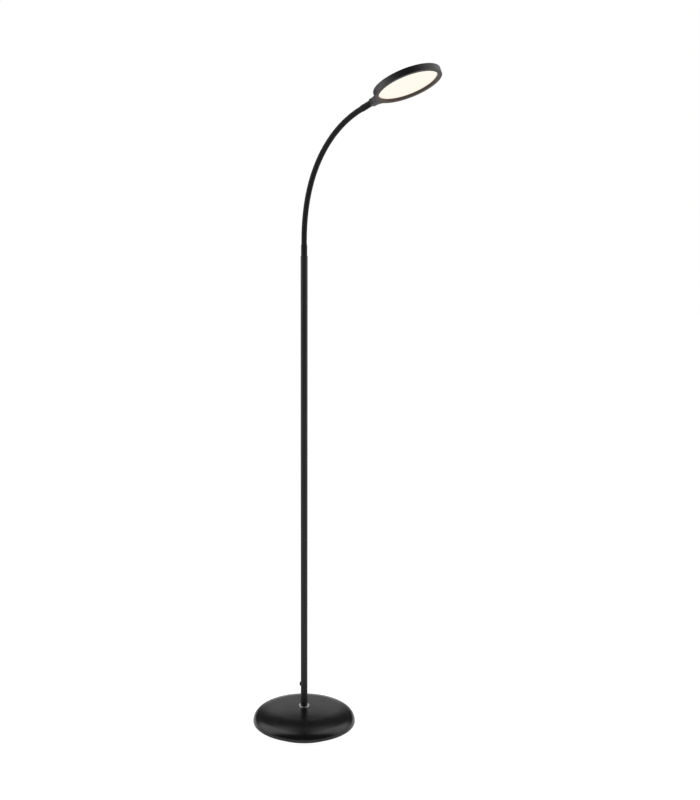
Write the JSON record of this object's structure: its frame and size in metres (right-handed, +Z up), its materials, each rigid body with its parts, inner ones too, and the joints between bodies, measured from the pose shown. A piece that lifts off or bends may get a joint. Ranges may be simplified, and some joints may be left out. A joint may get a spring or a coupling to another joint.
{
  "type": "gooseneck reading floor lamp",
  "caption": "Reading floor lamp: weighted round base, slim sectional pole, bendable gooseneck and a flat round edge-lit head with a flush tongue",
  "frame": {"origin": "centre of the round base's underside, on the pole's axis, where the pad meets the floor", "axes": "+Z up along the pole; the neck leans over towards +X, in the XZ plane; the power inlet faces -X"},
  "size_m": [0.4401, 0.24, 1.4829],
  "materials": {
    "satin_black_steel": "satin",
    "cast_iron": "matte",
    "zinc_plated_steel": "satin",
    "plate_steel": "satin",
    "soft_pad": "matte",
    "chrome": "polished",
    "black_pole_paint": "satin",
    "brass": "satin",
    "black_plastic": "matte",
    "board_green": "satin",
    "wire_insulation": "satin",
    "neck_rubber": "matte",
    "neck_steel": "satin",
    "head_plastic": "matte",
    "opal_panel": "satin",
    "clear_acrylic": "gloss",
    "white_film": "matte",
    "flexible_strip": "satin",
    "led_yellow": "satin",
    "aluminium": "satin",
    "foam": "matte",
    "set_screw_steel": "satin"
  },
  "bodies": {
    "stand": {"base_cover": "satin_black_steel", "base_weight": "cast_iron", "base_plate": "plate_steel", "base_plate_screws": "zinc_plated_steel", "base_pad": "soft_pad", "base_washer": "zinc_plated_steel", "base_nut": "zinc_plated_steel", "base_stud": "zinc_plated_steel", "collar_ring": "chrome", "pole_lower": "black_pole_paint", "pole_middle": "black_pole_paint", "pole_upper": "black_pole_paint", "pole_foot_insert": "zinc_plated_steel", "lower_joiner_stud": "zinc_plated_steel", "lower_joiner_insert": "zinc_plated_steel", "upper_joiner_stud": "zinc_plated_steel", "upper_joiner_insert": "zinc_plated_steel", "pole_top_insert": "zinc_plated_steel", "inlet_housing": "black_plastic", "inlet_pin": "brass", "inlet_wires": "wire_insulation", "driver_board": "board_green", "lead": "wire_insulation", "neck_lower_ferrule": "zinc_plated_steel", "neck_lower_core": "neck_steel", "neck_lower_sleeve": "neck_rubber"},
    "neck_link_01": {"neck_core_01": "neck_steel", "neck_sleeve_01": "neck_rubber"},
    "neck_link_02": {"neck_core_02": "neck_steel", "neck_sleeve_02": "neck_rubber"},
    "neck_link_03": {"neck_core_03": "neck_steel", "neck_sleeve_03": "neck_rubber"},
    "neck_link_04": {"neck_core_04": "neck_steel", "neck_sleeve_04": "neck_rubber"},
    "neck_link_05": {"neck_core_05": "neck_steel", "neck_sleeve_05": "neck_rubber"},
    "neck_link_06": {"neck_core_06": "neck_steel", "neck_sleeve_06": "neck_rubber"},
    "neck_link_07": {"neck_core_07": "neck_steel", "neck_sleeve_07": "neck_rubber"},
    "neck_link_08": {"neck_core_08": "neck_steel", "neck_sleeve_08": "neck_rubber"},
    "neck_link_09": {"neck_core_09": "neck_steel", "neck_sleeve_09": "neck_rubber"},
    "neck_link_10": {"neck_core_10": "neck_steel", "neck_sleeve_10": "neck_rubber"},
    "lamp_head": {"neck_upper_ferrule": "zinc_plated_steel", "neck_upper_core": "neck_steel", "neck_upper_sleeve": "neck_rubber", "head_housing": "head_plastic", "head_bezel": "head_plastic", "diffuser": "opal_panel", "light_guide": "clear_acrylic", "reflector_sheet": "white_film", "led_strip": "flexible_strip", "led_chips": "led_yellow", "back_plate": "aluminium", "foam_pads": "foam", "neck_set_screw": "set_screw_steel"}
  },
  "joints": [
    {"name": "neck_bend_01", "type": "hinge", "parent": "stand", "child": "neck_link_01", "pos_m": [0, 0, 1.132], "axis": [0, 1, 0], "range_deg": [-30, 20], "deforming": ["lead"]},
    {"name": "neck_sway_02", "type": "hinge", "parent": "neck_link_01", "child": "neck_link_02", "pos_m": [0.00098, 0, 1.16458], "axis": [-0.9982, 0, 0.0602], "range_deg": [-24, 24], "deforming": ["lead"]},
    {"name": "neck_bend_03", "type": "hinge", "parent": "neck_link_02", "child": "neck_link_03", "pos_m": [0.00412, 0, 1.19702], "axis": [0, 1, 0], "range_deg": [-30, 20], "deforming": ["lead"]},
    {"name": "neck_sway_04", "type": "hinge", "parent": "neck_link_03", "child": "neck_link_04", "pos_m": [0.00978, 0, 1.22912], "axis": [-0.9766, 0, 0.2151], "range_deg": [-24, 24], "deforming": ["lead"]},
    {"name": "neck_bend_05", "type": "hinge", "parent": "neck_link_04", "child": "neck_link_05", "pos_m": [0.01831, 0, 1.26057], "axis": [0, 1, 0], "range_deg": [-30, 20], "deforming": ["lead"]},
    {"name": "neck_sway_06", "type": "hinge", "parent": "neck_link_05", "child": "neck_link_06", "pos_m": [0.03001, 0, 1.29098], "axis": [-0.9125, 0, 0.4091], "range_deg": [-24, 24], "deforming": ["lead"]},
    {"name": "neck_bend_07", "type": "hinge", "parent": "neck_link_06", "child": "neck_link_07", "pos_m": [0.04511, 0, 1.31985], "axis": [0, 1, 0], "range_deg": [-30, 20], "deforming": ["lead"]},
    {"name": "neck_sway_08", "type": "hinge", "parent": "neck_link_07", "child": "neck_link_08", "pos_m": [0.06372, 0, 1.34659], "axis": [-0.7811, 0, 0.6244], "range_deg": [-24, 24], "deforming": ["lead"]},
    {"name": "neck_bend_09", "type": "hinge", "parent": "neck_link_08", "child": "neck_link_09", "pos_m": [0.08584, 0, 1.37049], "axis": [0, 1, 0], "range_deg": [-30, 20], "deforming": ["lead"]},
    {"name": "neck_sway_10", "type": "hinge", "parent": "neck_link_09", "child": "neck_link_10", "pos_m": [0.1113, 0, 1.39081], "axis": [-0.5608, 0, 0.828], "range_deg": [-24, 24], "deforming": ["lead"]},
    {"name": "neck_bend_11", "type": "hinge", "parent": "neck_link_10", "child": "lamp_head", "pos_m": [0.1397, 0, 1.40673], "axis": [0, 1, 0], "range_deg": [-30, 20], "deforming": ["lead"]}
  ]
}
